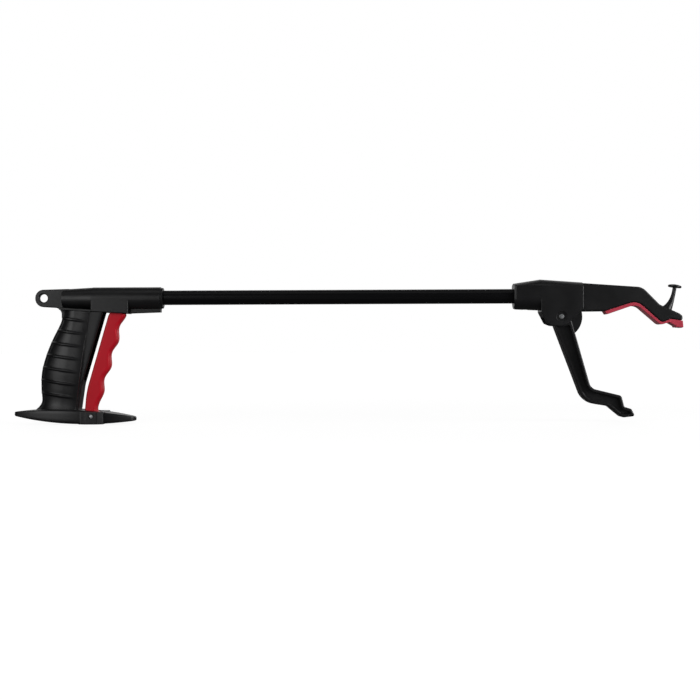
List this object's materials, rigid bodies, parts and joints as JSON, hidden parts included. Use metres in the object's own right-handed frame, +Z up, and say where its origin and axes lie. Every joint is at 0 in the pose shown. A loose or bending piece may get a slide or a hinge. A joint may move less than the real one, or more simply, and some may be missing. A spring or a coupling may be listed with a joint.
{
  "type": "reacher grabber",
  "caption": "Hand-held reacher: ribbed pistol grip with red trigger and oval foot, black tube, and a hinged lower jaw that a hidden pull rod closes on a lined, hooked upper jaw.",
  "frame": {"origin": "centre of the hang hole at the rear of the handle, on the parting plane of the two shells", "axes": "+X along the tube towards the jaws, +Y across the object along the hang hole and the joint pins, +Z up away from the foot"},
  "size_m": [0.6583, 0.0432, 0.14],
  "materials": {
    "black_plastic": "satin",
    "black_tube": "black anodised, glossy",
    "red_plastic": "satin",
    "red_rubber": "matt",
    "bright_steel": "bright",
    "zinc_steel": "zinc plated",
    "white_plastic": "natural",
    "bush_brass": "plain"
  },
  "bodies": {
    "frame": {"right_handle_shell": "black_plastic", "left_handle_shell": "black_plastic", "handle_screws": "zinc_steel", "trigger_pin": "bright_steel", "return_spring": "bright_steel", "tube": "black_tube", "jaw_head": "black_plastic", "head_screw": "zinc_steel", "jaw_liner": "red_rubber", "jaw_pin": "bright_steel", "jaw_pin_clip": "zinc_steel"},
    "trigger_arm": {"trigger": "red_plastic", "trigger_bush": "bush_brass"},
    "rod": {"pull_rod": "bright_steel", "rear_clevis": "white_plastic", "rear_rod_pin": "bright_steel", "front_clevis": "white_plastic", "front_rod_pin": "bright_steel", "rod_guides": "white_plastic"},
    "jaw": {"lower_jaw": "black_plastic"}
  },
  "joints": [
    {"name": "trigger_squeeze", "type": "hinge", "parent": "frame", "child": "trigger_arm", "pos_m": [0.05, 0, -0.1158], "axis": [0, -1, 0], "range_deg": [0, 8.3], "stiffness_Nm_per_rad": 4, "springref_deg": -11.46, "deforming": ["return_spring"]},
    {"name": "rod_tilt", "type": "hinge", "parent": "trigger_arm", "child": "rod", "pos_m": [0.076, 0, -0.0013], "axis": [0, -1, 0], "range_deg": [-8.5, 0]},
    {"name": "jaw_close", "type": "hinge", "parent": "frame", "child": "jaw", "pos_m": [0.5088, 0, -0.0204], "axis": [0, -1, 0], "range_deg": [0, 47]}
  ],
  "couplings": [
    {"joint": "rod_tilt", "follows": "trigger_squeeze", "ratio": -1.02},
    {"joint": "jaw_close", "follows": "trigger_squeeze", "ratio": 5.66}
  ]
}
